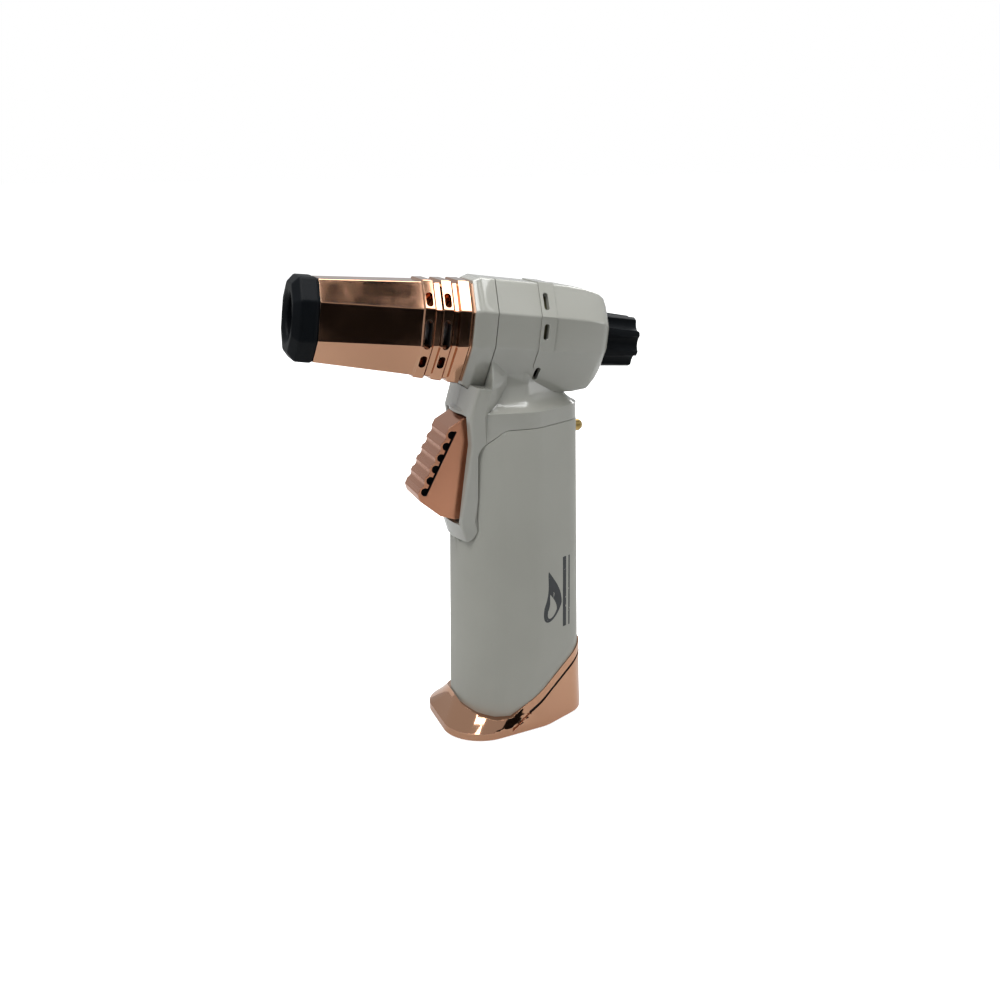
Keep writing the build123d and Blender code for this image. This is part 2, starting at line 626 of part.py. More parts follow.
def gas_slide():
    """Bar that the trigger pushes back, with a ramp underneath for the valve stem."""
    front = PLUNGER_FRONT
    top = PIEZO_Z - CASE_HEIGHT / 2 - GAP
    drop = SLIDE_TRAVEL * RAMP_SLOPE
    outline = [(front, top), (7.4, top), (7.4, SLIDE_UNDER), (-0.4, SLIDE_UNDER)]
    outline += [(-0.4 - SLIDE_TRAVEL, SLIDE_UNDER - drop), (front + 1.6, SLIDE_UNDER - drop)]
    outline += [(front + 1.6, SLIDE_Z - 2.6), (front, SLIDE_Z - 2.6)]
    return side_prism(outline, SLIDE_WIDTH)


STEM_TOP = SLIDE_UNDER - 0.2


def main_valve_body():
    """Valve housing that is screwed into the tank lid."""
    body = post(LID_TOP, LID_TOP + 3.6, 4.0) + post(TANK_TOP - 4, LID_TOP, 3.0)
    body -= post(LID_TOP - 3.0, LID_TOP + 2.6, 2.2)
    body -= post(LID_TOP, LID_TOP + 5, STEM_R + RUNNING)
    return body - post(TANK_TOP - 5, LID_TOP, 0.5)


def main_valve_stem():
    """Stem with a collar that the spring lifts, pushed down by the slide's ramp."""
    low = LID_TOP + 2.6 - RUNNING
    stem = post(low - 0.9, STEM_TOP - 0.6, STEM_R) + post(low - 0.9, low, 2.0)
    return stem + Pos(0, 0, STEM_TOP - 0.6) * Cone(STEM_R, 0.5, 0.6, align=LOW_END)


def valve_spring():
    length = LID_TOP + 2.6 - RUNNING - 0.9 - (LID_TOP - 3.0) - 0.6
    return Pos(0, 0, LID_TOP - 2.7) * spring(1.5, 0.25, length, 4)


# ---- tank, filling valve, wire and hose ----
HOSE_TOP = HEAD_HEIGHT - 6.4
REFILL_FRONT = FILL_X - 2.4
REFILL_FLANGE = grip_rear(REFILL_Z) - WALL - 1.1
NUB_FOOT = grip_rear(REFILL_Z) + 0.1
NUB_TIP = grip_rear(REFILL_Z) + NUB_REACH


def fuel_tank():
    outer = grip_bar(GRIP_FOOT, TANK_TOP, -WALL - TANK_GAP)
    inner = grip_bar(GRIP_FOOT + TANK_WALL, TANK_TOP + 1, -WALL - TANK_GAP - TANK_WALL)
    return outer - inner


def tank_seal():
    ring = grip_bar(TANK_TOP, TANK_TOP + SEAL_THICKNESS, -WALL - TANK_GAP)
    return ring - grip_bar(TANK_TOP - 1, TANK_TOP + 2, -WALL - TANK_GAP - TANK_WALL)


def tank_lid():
    """Lid with a plug that enters the tank, and holes for the valve, the hose tail and the filling tube."""
    low = TANK_TOP + SEAL_THICKNESS
    lid = grip_bar(low, LID_TOP, -WALL - TANK_GAP)
    lid += grip_bar(TANK_TOP - 2.5, low, -WALL - TANK_GAP - TANK_WALL - SEAT)
    lid -= post(TANK_TOP - 4, LID_TOP + 1, 3.0 + SEAT)
    lid -= post(TANK_TOP - 4, LID_TOP + 1, FILL_R + SEAT, x=FILL_X)
    return lid - post(TANK_TOP - 4, LID_TOP + 1, HOSE_R + SEAT, x=HOSE_X, y=HOSE_Y)


def fill_tube():
    top = REFILL_Z - 1.6
    tube = post(TANK_TOP - 6, top, FILL_R, x=FILL_X)
    return tube - post(TANK_TOP - 7, top + 1, FILL_R - 0.5, x=FILL_X)


def refill_valve_body():
    """Filling valve: a barrel inside the cover and a domed brass nozzle that stands out of the back."""
    nozzle = rod(REFILL_FLANGE, NUB_FOOT, NUB_SEAT_R, z=REFILL_Z) + rod(NUB_FOOT, NUB_TIP - 1.0, NUB_R, z=REFILL_Z)
    nozzle += Plane(origin=(NUB_TIP - 1.0, 0, REFILL_Z), z_dir=(1, 0, 0)) * Cone(NUB_R, 1.3, 1.0, align=LOW_END)
    body = rod(REFILL_FRONT, REFILL_FLANGE, 3.1, z=REFILL_Z) + nozzle
    body -= rod(REFILL_FRONT + 0.8, REFILL_FLANGE, 1.5 + RUNNING, z=REFILL_Z)
    body -= rod(REFILL_FRONT + 0.8, NUB_TIP + 1, 0.95 + RUNNING, z=REFILL_Z)
    return body - post(REFILL_Z - 4, REFILL_Z - 1, FILL_R + SEAT, x=FILL_X)


def refill_stem():
    """Spring-loaded stem that a gas can presses in."""
    collar = REFILL_FLANGE - RUNNING
    return rod(collar - 0.9, collar, 1.5, z=REFILL_Z) + rod(collar - 0.9, NUB_TIP + 0.2, 0.95, z=REFILL_Z)


def refill_spring():
    length = REFILL_FLANGE - RUNNING - 0.9 - REFILL_FRONT - 0.8 - 0.5
    return Pos(REFILL_FRONT + 1.05, 0, REFILL_Z) * Rot(0, 90, 0) * spring(1.15, 0.2, length, 3)


def refill_seal():
    """Washer between the filling valve and the cover."""
    x = REFILL_FLANGE
    return rod(x, x + 0.45, 3.0, z=REFILL_Z) - rod(x - 1, x + 1, NUB_SEAT_R + SEAT, z=REFILL_Z)


def gas_hose():
    """Soft line from the tank lid to the flow valve."""
    start = (HOSE_X, HOSE_Y, TANK_TOP - 2)
    points = [start, (HOSE_X, HOSE_Y, 102), (HOSE_X, 0, 114), (HOSE_X, 0, HOSE_TOP - 0.2)]
    return pipe(points, HOSE_R, 6.0)


def ignition_wire():
    """Lead from the piezo case up the neck and forward to the electrode."""
    case_top = PIEZO_Z + CASE_HEIGHT / 2
    corner = head_point(WIRE_X, ELECTRODE_Y, 0)
    end = head_point(COLLAR_FRONT + 5.0 + SEAT, ELECTRODE_Y, 0)
    points = [(WIRE_X, -2.6, case_top), (WIRE_X, -2.6, case_top + 5), (WIRE_X, ELECTRODE_Y, case_top + 13)]
    return pipe(points + [(WIRE_X, ELECTRODE_Y, corner[2]), end], WIRE_R, 3.0)


# ---- grip and base ----
def grip_cover():
    """Matte grip, open at the top and in front where the gloss shell closes it."""
    solid = grip_bar(GRIP_FOOT, SHOULDER_Z) - grip_bar(GRIP_FOOT - 1, SHOULDER_Z + 1, -WALL)
    solid -= gloss_region(-SEAM)
    solid -= rod(FILL_X, NUB_TIP + 9, NUB_SEAT_R + SEAT, z=REFILL_Z)
    rear = grip_rear(REFILL_Z)
    return solid - Pos(rear + 3.0, 0, REFILL_Z - 0.4) * Sphere(4.4)


def shoe_rings(z):
    """Circles of the shoe at height z: the footprint flares in to the grip's section."""
    share = min(1.0, max(0.0, (FLARE_TOP - z) / FLARE_HEIGHT)) ** 1.5
    front, middle, rear = grip_rings(z)
    rear = (rear[0] + 0.2, rear[1], rear[2])
    return [tuple(g + (f - g) * share for f, g in zip(*pair)) for pair in zip(FOOT_RINGS, (front, middle, rear))]


def shoe_bar(top, grow):
    """Solid of the shoe's outline from the floor to the height top."""
    levels = [0.3, FLARE_TOP - FLARE_HEIGHT, 4.5, 6.5, 8.5, 10.0, FLARE_TOP, top]
    return loft([egg(z, shoe_rings(z), grow) for z in levels], ruled=True)


def shoe_edge(x, below=0.0):
    """Height of the shoe's diagonal edge at x, less below."""
    return SHOE_LOW + (x - SHOE_LOW_X) * SHOE_SLOPE - below


def base_shoe():
    """Plated shoe with a flared toe, a diagonal upper edge and a groove along it."""
    solid = shoe_bar(SHOE_TOP, 0.4)
    outline = [(-50, FLARE_TOP), (-23.4, FLARE_TOP), (-22.2, 9.0), (-18, 7.0), (-13, SHOE_LOW), (SHOE_LOW_X, SHOE_LOW)]
    solid -= side_prism(outline + [(50, shoe_edge(50)), (50, 90), (-50, 90)], 80)
    groove = [(x, shoe_edge(x, below)) for x, below in ((-8.0, 3.1), (40, 3.1), (40, 4.2), (-8.0, 4.2))]
    solid -= side_prism(groove, 80) - shoe_bar(SHOE_TOP, -0.3)
    solid -= grip_bar(GRIP_FOOT, 40, SEAT)
    plate = shoe_rings(GRIP_FOOT)
    return solid - extrude(egg(-1, plate, SEAT - METAL_WALL), GRIP_FOOT + 1)


def base_plate():
    """Floor of the base, with countersunk holes for its screws."""
    plate = extrude(egg(PAD_THICKNESS, shoe_rings(GRIP_FOOT), -METAL_WALL), PLATE_THICKNESS)
    for x, y in BASE_SCREWS:
        plate -= post(0, GRIP_FOOT + 1, SCREW_R + SEAT, x=x, y=y)
        plate -= post(0, PAD_THICKNESS + 1.0 + SEAT, 2.0 + SEAT, x=x, y=y)
    return plate


def base_screws():
    screws = Part()
    for x, y in BASE_SCREWS:
        screws += post(PAD_THICKNESS, PAD_THICKNESS + 1.0, 2.0, x=x, y=y)
        screws += post(PAD_THICKNESS + 1.0, GRIP_FOOT, SCREW_R, x=x, y=y)
    return screws


def foot_pad():
    return extrude(egg(0, shoe_rings(GRIP_FOOT), -METAL_WALL - 0.4), PAD_THICKNESS)


# ---- every piece, by node name ----
def pieces():
    left, right = shells()
    in_head = {
        "muzzle_guard": muzzle_guard(),
        "barrel_shroud": barrel_shroud(),
        "burner_tube": burner_tube(),
        "flame_screen": flame_screen(),
        "electrode_insulator": electrode_insulator(),
        "electrode": electrode(),
        "mixing_tube": mixing_tube(),
        "gas_jet": gas_jet(),
        "flow_valve_body": flow_valve_body(),
        "needle_spindle": needle_spindle(),
        "spindle_seal": spindle_seal(),
        "flame_knob": flame_knob(),
        "head_collar": head_collar(),
        "vent_band": vent_band(),
        "heat_liner": heat_liner(),
        "shell_screws": shell_screws(),
    }
    upright = {
        "head_shell_left": left,
        "head_shell_right": right,
        "trigger": trigger(),
        "trigger_pin": trigger_pin(),
        "piezo_case": piezo_case(),
        "piezo_plunger": piezo_plunger(),
        "return_spring": return_spring(),
        "piezo_cradle": piezo_cradle(),
        "gas_slide": gas_slide(),
        "main_valve_body": main_valve_body(),
        "main_valve_stem": main_valve_stem(),
        "valve_spring": valve_spring(),
        "fuel_tank": fuel_tank(),
        "tank_seal": tank_seal(),
        "tank_lid": tank_lid(),
        "fill_tube": fill_tube(),
        "refill_valve_body": refill_valve_body(),
        "refill_stem": refill_stem(),
        "refill_spring": refill_spring(),
        "refill_seal": refill_seal(),
        "gas_hose": gas_hose(),
        "ignition_wire": ignition_wire(),
        "grip_cover": grip_cover(),
        "base_shoe": base_shoe(),
        "base_plate": base_plate(),
        "base_screws": base_screws(),
        "foot_pad": foot_pad(),
    }
    return {**{name: HEAD * solid for name, solid in in_head.items()}, **upright}


os.makedirs("parts", exist_ok=True)
for name, solid in pieces().items():
    export_step(solid, f"parts/{name}.step")
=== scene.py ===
import json
from math import cos, radians, sin

import bpy
from mathutils import Matrix, Vector

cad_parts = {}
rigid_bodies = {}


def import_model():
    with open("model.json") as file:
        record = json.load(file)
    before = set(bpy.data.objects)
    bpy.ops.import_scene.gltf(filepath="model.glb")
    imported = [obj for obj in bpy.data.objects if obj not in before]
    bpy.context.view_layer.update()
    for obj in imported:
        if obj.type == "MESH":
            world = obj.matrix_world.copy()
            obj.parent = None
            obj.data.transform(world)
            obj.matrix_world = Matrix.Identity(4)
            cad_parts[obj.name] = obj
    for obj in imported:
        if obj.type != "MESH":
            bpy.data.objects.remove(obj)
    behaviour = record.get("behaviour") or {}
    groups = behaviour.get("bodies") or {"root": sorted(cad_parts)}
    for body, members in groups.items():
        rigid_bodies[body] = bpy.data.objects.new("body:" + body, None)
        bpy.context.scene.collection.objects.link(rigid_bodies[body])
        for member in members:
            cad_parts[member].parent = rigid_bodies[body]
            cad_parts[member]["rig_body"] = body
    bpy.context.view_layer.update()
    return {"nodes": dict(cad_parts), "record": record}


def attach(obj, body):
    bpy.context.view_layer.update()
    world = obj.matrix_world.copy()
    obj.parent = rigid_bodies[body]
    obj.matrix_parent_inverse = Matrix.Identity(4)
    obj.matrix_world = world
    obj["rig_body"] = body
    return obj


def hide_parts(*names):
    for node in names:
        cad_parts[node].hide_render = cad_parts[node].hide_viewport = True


# Hand torch: a mirror-plated faceted burner barrel, gloss shell, satin grip, plated trigger and base shoe.
# Sizes and places on the torch are millimetres, as in the CAD. The camera and studio are placed in metres.

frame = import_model()
nodes = frame["nodes"]

MM = 0.001

# the burner axis, which the barrel's bore follows
HEAD_TILT = radians(6.95)
HEAD_AT = Vector((0.0, 0.0, 133.4)) * MM
HEAD_AXIS = Vector((cos(HEAD_TILT), 0.0, -sin(HEAD_TILT)))
BORE_REACH = 10.2  # nothing of the bore lies further from the axis

# the scalloped channels in the trigger's sides
CHANNEL_FLOOR = 6.3
CHANNEL_RIM = 7.7
CHANNEL_REAR = -20.0

# the marks printed on the left of the grip, placed by x and z
FLAME_FOOT = (8.0, 37.0)
FLAME_HEIGHT = 18.0
FLAME_HALF = 4.4
HEART_FOOT = (8.2, 38.2)  # the smaller drop left bare inside the flame
HEART_HEIGHT = 8.5
HEART_HALF = 2.2
STRIPES = ((14.2, 0.75), (16.3, 0.3))  # x and half width of each
STRIPE_MIDDLE = 46.0
STRIPE_HALF_LENGTH = 12.5

# the diagonal upper edge of the base shoe, and the shade below it in the shoe's groove
SHOE_LOW_X = -7.6
SHOE_LOW = 6.0
SHOE_SLOPE = 0.642
SHADE_TOP = -2.8
SHADE_FOOT = -4.5

# heat colours of the burner steel: blue before the first place, straw between, bare after the second
HEAT_BLUE = -72.0
HEAT_BARE = -46.0
HEAT_STRAY = 8.0  # how far the colours wander along the steel

# places of the sockets of a Mix node that blends colours
MIX_SHARE = 0
MIX_FIRST = 6
MIX_SECOND = 7
MIX_RESULT = 2


# ---------------------------------------------------------------- shader maths
class Value:
    """A number socket that adds Math nodes when it is used in an expression."""

    def __init__(self, finish, socket):
        self.finish = finish
        self.socket = socket

    def _math(self, operation, *values):
        return self.finish.node("ShaderNodeMath", {"operation": operation}, *values).value()

    def __add__(self, other):
        return self._math("ADD", self, other)

    def __radd__(self, other):
        return self._math("ADD", other, self)

    def __sub__(self, other):
        return self._math("SUBTRACT", self, other)

    def __rsub__(self, other):
        return self._math("SUBTRACT", other, self)

    def __mul__(self, other):
        return self._math("MULTIPLY", self, other)

    def __rmul__(self, other):
        return self._math("MULTIPLY", other, self)

    def __truediv__(self, other):
        return self._math("DIVIDE", self, other)

    def __pow__(self, other):
        return self._math("POWER", self, other)

    def __gt__(self, other):
        return self._math("GREATER_THAN", self, other)

    def __lt__(self, other):
        return self._math("LESS_THAN", self, other)

    def clamped(self):
        result = self._math("ADD", self, 0.0)
        result.socket.node.use_clamp = True
        return result

    def size(self):
        return self._math("ABSOLUTE", self)

    def sine(self):
        return self._math("SINE", self)

    def most(self, other):
        return self._math("MAXIMUM", self, other)


class Step:
    """One node of a finish, read by its output's place or name."""

    def __init__(self, finish, made):
        self.finish = finish
        self.made = made

    def value(self, output=0):
        return Value(self.finish, self.made.outputs[output])

    def socket(self, output=0):
        return self.made.outputs[output]


class Finish:
    """A material under construction."""

    def __init__(self, name):
        self.material = bpy.data.materials.new(name)
        self.material.use_nodes = True
        self.tree = self.material.node_tree
        self.shader = self.tree.nodes["Principled BSDF"]
        self.coordinates = self.node("ShaderNodeTexCoord", {}).socket("Object")

    def node(self, kind, settings, *values, **named):
        """New node with its settings, then its sockets fed by place and by name."""
        made = self.tree.nodes.new(kind)
        for key, setting in settings.items():
            setattr(made, key, setting)
        for place, value in enumerate(values):
            self.feed(made.inputs[place], value)
        for name, value in named.items():
            self.feed(made.inputs[name.replace("_", " ")], value)
        return Step(self, made)

    def feed(self, target, value):
        """Links value to the socket target, or sets it there when it is a plain number or colour."""
        if isinstance(value, Value):
            value = value.socket
        if isinstance(value, bpy.types.NodeSocket):
            self.tree.links.new(value, target)
        else:
            target.default_value = value

    def noise(self, scale, detail=3.0, roughness=0.5, where=None):
        """Clouds from 0 to 1. scale is how many there are to a metre of where, or of the object."""
        step = self.node("ShaderNodeTexNoise", {}, Scale=scale, Detail=detail, Roughness=roughness)
        self.feed(step.made.inputs["Vector"], self.coordinates if where is None else where)
        return step.value("Fac")

    def cells(self, scale):
        """How far the nearest of many scattered points is, with scale of them to a metre."""
        return self.node("ShaderNodeTexVoronoi", {}, Vector=self.coordinates, Scale=scale).value("Distance")

    def stretched(self, x, y, z):
        """Object coordinates scaled by x, y and z."""
        return self.node("ShaderNodeMapping", {}, Vector=self.coordinates, Scale=(x, y, z)).socket()

    def axes(self):
        """Object coordinates in millimetres, one value for each axis."""
        split = self.node("ShaderNodeSeparateXYZ", {}, self.coordinates)
        return [split.value(k) * (1 / MM) for k in range(3)]

    def between(self, value, low, high):
        """0 at low, 1 at high, even between them and held beyond them."""
        return self.node("ShaderNodeMapRange", {}, value, low, high).value()

    def blend(self, share, first, second):
        """Colour first where share is 0 and second where it is 1."""
        mix = self.node("ShaderNodeMix", {"data_type": "RGBA"})
        for place, value in ((MIX_SHARE, share), (MIX_FIRST, first), (MIX_SECOND, second)):
            self.feed(mix.made.inputs[place], value)
        return mix.socket(MIX_RESULT)

    def drop(self, across, up, height, half):
        """1 inside a drop that stands on up = 0, widest a third of the way up, with a tip that curls back."""
        rise = up / height
        lean = (rise * 4.4 - 0.6).sine() * (half * 0.34)
        belly = (rise * 3.2).clamped() ** 0.5 * (1.0 - rise).clamped() ** 0.85 * (half * 1.22)
        return ((across - lean).size() < belly) * (rise > 0.0)

    def edges(self, radius):
        """1 on sharp edges, 0 on open faces."""
        soft = self.node("ShaderNodeBevel", {"samples": 4}, Radius=radius).socket()
        flat = self.node("ShaderNodeNewGeometry", {}).socket("Normal")
        alike = self.node("ShaderNodeVectorMath", {"operation": "DOT_PRODUCT"}, soft, flat).value("Value")
        return self.between(1.0 - alike, low=0.02, high=0.12)

    def bump(self, height, strength, distance):
        return self.node("ShaderNodeBump", {}, Strength=strength, Distance=distance, Height=height).socket()

    def set(self, **inputs):
        """Feeds the shader's own sockets and gives back the finished material."""
        for name, value in inputs.items():
            self.feed(self.shader.inputs[name.replace("_", " ")], value)
        return self.material


def tone(red, green, blue):
    """Linear colour from the usual 0-255 screen values."""
    channels = []
    for level in (red, green, blue):
        share = level / 255
        channels.append(share / 12.92 if share <= 0.04045 else ((share + 0.055) / 1.055) ** 2.4)
    return (*channels, 1.0)


def shaded(colour, gain, lift=0.0):
    """Colour with its channels multiplied by gain and raised by lift, at most 1."""
    return (*(min(1.0, channel * gain + lift) for channel in colour[:3]), 1.0)


# ---------------------------------------------------------------- finishes
def gloss_shell():
    """Sprayed warm-grey gloss over moulded plastic: faint orange peel, dust specks, a few hairlines."""
    f = Finish("gloss_shell")
    cloud = f.noise(scale=38, detail=2.0)
    upright = f.stretched(900, 900, 90)
    hair = f.between(f.noise(scale=1.0, detail=4.0, roughness=0.65, where=upright), low=0.66, high=0.72)
    specks = f.between(f.cells(scale=900), low=0.05, high=0.02)
    dusty = f.noise(scale=120, detail=2.0) > 0.62
    handled = f.between(f.noise(scale=70), low=0.45, high=0.75)
    peel = f.noise(scale=420, detail=2.0)
    colour = f.blend(f.between(cloud, low=0.3, high=0.7), tone(151, 151, 143), tone(158, 158, 151))
    colour = f.blend(specks * dusty * 0.35, colour, tone(104, 101, 92))
    return f.set(
        Base_Color=colour,
        Roughness=0.15 + hair * 0.12 + handled * 0.09,
        Specular_IOR_Level=0.55,
        Coat_Weight=0.45,
        Coat_Roughness=0.06,
        Normal=f.bump(peel, strength=0.06, distance=0.25 * MM),
    )


def printed_marks(f, x, y, z):
    """1 in the flame, whose heart is left bare, and in the two stripes beside it, where they are not worn."""
    flame = f.drop(x - FLAME_FOOT[0], z - FLAME_FOOT[1], FLAME_HEIGHT, FLAME_HALF)
    heart = f.drop(x - HEART_FOOT[0], z - HEART_FOOT[1], HEART_HEIGHT, HEART_HALF)
    tall = (z - STRIPE_MIDDLE).size() < STRIPE_HALF_LENGTH
    wide, thin = (((x - place).size() < half) * tall for place, half in STRIPES)
    kept = f.between(f.noise(scale=900), low=0.28, high=0.34)
    return (flame * (1.0 - heart)).most(wide.most(thin)) * (y < 0.0) * kept


def satin_grip():
    """Soft-touch paint: fine sand texture, polish where the palm rubs, a printed flame and stripes."""
    f = Finish("satin_grip")
    x, y, z = f.axes()
    grain = f.noise(scale=2600, detail=2.0, roughness=0.6)
    mottle = f.noise(scale=22)
    polish = f.between(f.noise(scale=14, detail=2.0), low=0.46, high=0.66)
    printed = printed_marks(f, x, y, z)
    above_edge = z - (x - SHOE_LOW_X) * SHOE_SLOPE - SHOE_LOW
    in_groove = (above_edge < SHADE_TOP) * (above_edge > SHADE_FOOT)
    colour = f.blend(f.between(mottle, low=0.3, high=0.7), tone(157, 157, 149), tone(165, 165, 157))
    colour = f.blend(printed, colour, tone(34, 38, 42))
    colour = f.blend(in_groove, colour, tone(20, 12, 9))
    return f.set(
        Base_Color=colour,
        Roughness=0.46 + grain * 0.08 - polish * 0.09 - printed * 0.12,
        Specular_IOR_Level=0.42,
        Normal=f.bump(grain + printed * 0.6, strength=0.12, distance=0.06 * MM),
    )


def plating(name, pale, warm, rough, ripple):
    """Rose-gold plating: mirror with faint polishing lines, fingerprints and wear at the edges."""
    f = Finish(name)
    lines = f.noise(scale=1.0, roughness=0.6, where=f.stretched(240, 3200, 3200))
    smear = f.between(f.noise(scale=46, detail=4.0, roughness=0.6), low=0.52, high=0.72)
    worn = f.edges(0.35 * MM) * f.between(f.noise(scale=260), low=0.44, high=0.62)
    drift = f.between(f.noise(scale=16, detail=2.0), low=0.35, high=0.65)
    colour = f.blend(drift, pale, warm)
    colour = f.blend(worn * 0.6, colour, tone(222, 196, 172))
    return f.set(
        Base_Color=colour,
        Metallic=1.0,
        Roughness=rough + smear * 0.07 + worn * 0.16 + lines * 0.03,
        Normal=f.bump(f.noise(scale=90, detail=2.0), strength=ripple, distance=0.4 * MM),
    )


def mirror_plate():
    """The bright plating of the barrel and the shoe."""
    return plating("rose_plate", tone(203, 157, 128), tone(193, 147, 119), rough=0.055, ripple=0.035)


def trigger_plate():
    """The trigger's plating, deeper in colour and duller."""
    return plating("rose_trigger", tone(202, 144, 114), tone(190, 132, 104), rough=0.20, ripple=0.05)


def heatproof_black():
    """Glass-filled moulding: near-black, finely pitted, paler where the edges rub."""
    f = Finish("heatproof_black")
    grain = f.noise(scale=1900, roughness=0.6)
    pits = f.between(f.cells(scale=1500), low=0.0, high=0.35)
    worn = f.edges(0.4 * MM) * f.between(f.noise(scale=300), low=0.4, high=0.6)
    patches = f.between(f.noise(scale=60, detail=2.0), low=0.35, high=0.65)
    colour = f.blend(patches, tone(6, 9, 12), tone(10, 14, 18))
    colour = f.blend(worn * 0.4, colour, tone(58, 62, 64))
    return f.set(
        Base_Color=colour,
        Roughness=0.42 + grain * 0.14 - worn * 0.08,
        Specular_IOR_Level=0.08,
        Normal=f.bump(pits + grain, strength=0.10, distance=0.08 * MM),
    )


def turned_metal(name, pale, dark, rough):
    """Turned bar: circular tool marks, tarnish in patches, bright edges."""
    f = Finish(name)
    marks = f.noise(scale=1.0, detail=2.0, where=f.stretched(5200, 300, 300))
    tarnish = f.between(f.noise(scale=180, detail=4.0, roughness=0.6), low=0.42, high=0.68)
    worn = f.edges(0.3 * MM)
    colour = f.blend(tarnish * 0.7, pale, dark)
    colour = f.blend(worn * 0.5, colour, pale)
    return f.set(
        Base_Color=colour,
        Metallic=1.0,
        Roughness=rough + tarnish * 0.1 + marks * 0.08,
        Normal=f.bump(marks, strength=0.08, distance=0.05 * MM),
    )


def heated_steel():
    """Burner steel with blue and straw heat colours towards the flame."""
    f = Finish("heated_steel")
    x = f.axes()[0]
    cool = f.between(x + f.noise(scale=90) * HEAT_STRAY, HEAT_BLUE, HEAT_BARE)
    colour = f.blend(f.between(cool, low=0.0, high=0.45), tone(92, 96, 128), tone(176, 142, 98))
    colour = f.blend(f.between(cool, low=0.45, high=1.0), colour, tone(176, 176, 174))
    return f.set(
        Base_Color=colour,
        Metallic=1.0,
        Roughness=0.3 + f.noise(scale=600) * 0.14,
        Normal=f.bump(f.noise(scale=1400, detail=2.0), strength=0.1, distance=0.05 * MM),
    )


def soft_rubber(name, shade, grain=1500):
    """Dull rubber, and the near-black given to the barrel's bore, with paler dust lying on it."""
    f = Finish(name)
    dust = f.between(f.noise(scale=220, detail=4.0, roughness=0.6), low=0.5, high=0.8)
    return f.set(
        Base_Color=f.blend(dust * 0.6, shade, shaded(shade, gain=1.8, lift=0.01)),
        Roughness=0.62 + f.noise(grain, detail=2.0) * 0.2,
        Specular_IOR_Level=0.35,
        Normal=f.bump(f.noise(grain), strength=0.2, distance=0.08 * MM),
    )


def moulded(name, shade, rough, grain=900):
    """Moulded plastic, or fired clay, with faint flow marks."""
    f = Finish(name)
    flow = f.between(f.noise(scale=1.0, where=f.stretched(60, 60, 240)), low=0.35, high=0.65)
    return f.set(
        Base_Color=f.blend(flow, shade, shaded(shade, gain=0.86)),
        Roughness=rough + f.noise(grain, detail=2.0) * 0.12,
        Normal=f.bump(f.noise(grain), strength=0.1, distance=0.06 * MM),
    )


def olive_liner():
    """Dull painted sleeve that shows behind the vent slots, with a little soot."""
    f = Finish("olive_liner")
    soot = f.between(f.noise(scale=160, detail=4.0, roughness=0.6), low=0.4, high=0.7)
    return f.set(
        Base_Color=f.blend(soot * 0.6, tone(96, 94, 66), tone(48, 46, 34)),
        Metallic=0.3,
        Roughness=0.5 + soot * 0.2,
        Normal=f.bump(f.noise(scale=900, detail=2.0), strength=0.1, distance=0.06 * MM),
    )


def paper(name, shade, rough=0.7, glow=0.0):
    """Seamless studio paper, lifted by an even light of its own where glow is given."""
    f = Finish(name)
    drift = f.between(f.noise(scale=6.0, detail=2.0), low=0.3, high=0.7)
    return f.set(
        Base_Color=f.blend(drift, shade, shaded(shade, gain=0.985)),
        Roughness=rough,
        Specular_IOR_Level=0.2,
        Emission_Color=(1, 1, 1, 1),
        Emission_Strength=glow,
    )


# a finish for each material slot of the record, then those that single parts or faces have instead
FINISHES = {
    "gloss_shell": gloss_shell(),
    "grip_matte": satin_grip(),
    "rose_plate": mirror_plate(),
    "black_heatproof": heatproof_black(),
    "brass": turned_metal("brass", tone(206, 176, 112), tone(112, 92, 52), rough=0.26),
    "steel": turned_metal("steel", tone(196, 196, 198), tone(118, 118, 120), rough=0.24),
    "ceramic": moulded("ceramic", tone(226, 222, 212), rough=0.2, grain=500),
    "rubber": soft_rubber("rubber", tone(30, 30, 31)),
    "wire_sheath": soft_rubber("wire_sheath", tone(150, 34, 28), grain=2200),
    "tank_plastic": moulded("tank_plastic", tone(196, 204, 204), rough=0.24),
    "inner_plastic": moulded("inner_plastic", tone(46, 47, 50), rough=0.46),
    "liner_olive": olive_liner(),
    "rose_trigger": trigger_plate(),
    "heated_steel": heated_steel(),
    # near-black painted on the faces of the barrel's bore
    "bore_black": soft_rubber("bore_black", tone(16, 14, 13), grain=1200),
}
SPECIAL = {"trigger": "rose_trigger", "burner_tube": "heated_steel", "flame_screen": "heated_steel"}
SLOT_OF = {part["node"]: part["material_slot"] for part in frame["record"]["subparts"]}


# ---------------------------------------------------------------- pieces
MERGE_WITHIN = 0.004  # corners this close are one
FLAT_WITHIN = 0.6  # degrees within which neighbouring faces lie in one plane
SHARP_FROM = 32.0  # degrees between two faces from which their edge is a sharp one


def paint(piece, node):
    """Gives piece the finish of a CAD node."""
    piece.data.materials.clear()
    piece.data.materials.append(FINISHES[SPECIAL.get(node, SLOT_OF[node])])


def clear_selection():
    bpy.ops.object.select_all(action="DESELECT")


def work_on(piece):
    """Makes piece the only selected and the active object."""
    clear_selection()
    piece.select_set(True)
    bpy.context.view_layer.objects.active = piece


def join_triangles(piece):
    """Merges the loose triangles of a CAD mesh and joins those that lie in one plane."""
    work_on(piece)
    bpy.ops.object.mode_set(mode="EDIT")
    bpy.ops.mesh.select_all(action="SELECT")
    bpy.ops.mesh.remove_doubles(threshold=MERGE_WITHIN * MM)
    bpy.ops.mesh.dissolve_limited(angle_limit=radians(FLAT_WITHIN))
    bpy.ops.mesh.select_all(action="DESELECT")
    bpy.ops.object.mode_set(mode="OBJECT")


